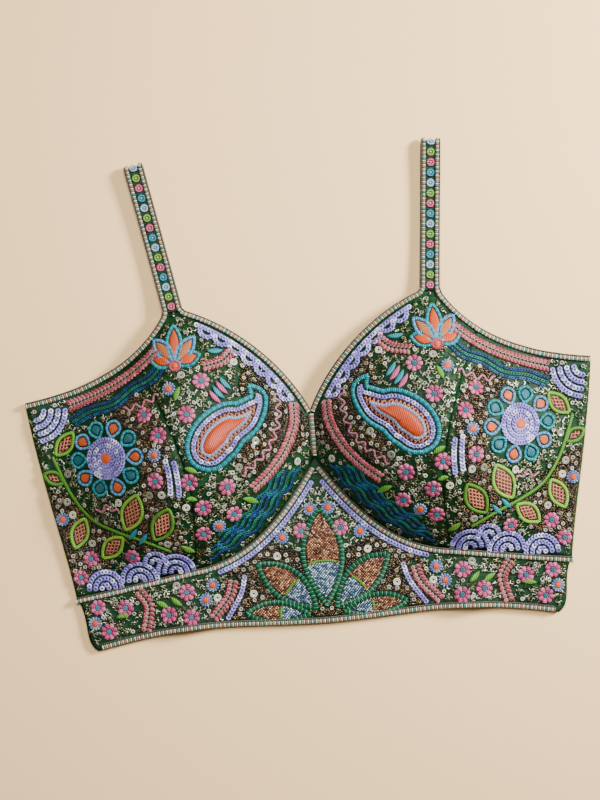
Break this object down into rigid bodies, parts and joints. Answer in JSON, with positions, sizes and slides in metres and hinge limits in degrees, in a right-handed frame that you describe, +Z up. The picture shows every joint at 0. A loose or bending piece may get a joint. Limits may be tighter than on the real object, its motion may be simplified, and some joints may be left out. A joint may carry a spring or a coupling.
{
  "type": "choli blouse laid flat",
  "caption": "Cropped sleeveless choli blouse with shaped cups, an underbust band and narrow shoulder straps, beaded all over and laid flat on its back.",
  "frame": {"origin": "on the surface, under the middle of the whole blouse's box", "axes": "+X to the wearer's left, which is the right of the front as it is looked at; +Y from the hem to the straps; +Z up out of the front"},
  "size_m": [0.436, 0.37, 0.0501],
  "materials": {
    "embroidered_silk": "green silk covered with sequins, beads and thread",
    "plain_silk": "plain green silk with a soft sheen",
    "beaded_edging": "bugle beads and thread in cream, gold, peach and teal"
  },
  "bodies": {
    "root": {"back_left": "plain_silk", "back_right": "plain_silk", "band_front": "embroidered_silk", "cup_inner_left": "embroidered_silk", "cup_outer_left": "embroidered_silk", "strap_left": "embroidered_silk", "cup_inner_right": "embroidered_silk", "cup_outer_right": "embroidered_silk", "strap_right": "embroidered_silk", "edging_neckline_left": "beaded_edging", "edging_armhole_left": "beaded_edging", "edging_underbust_left": "beaded_edging", "edging_neckline_right": "beaded_edging", "edging_armhole_right": "beaded_edging", "edging_underbust_right": "beaded_edging", "edging_hem": "beaded_edging", "edging_centre": "beaded_edging"}
  },
  "joints": []
}
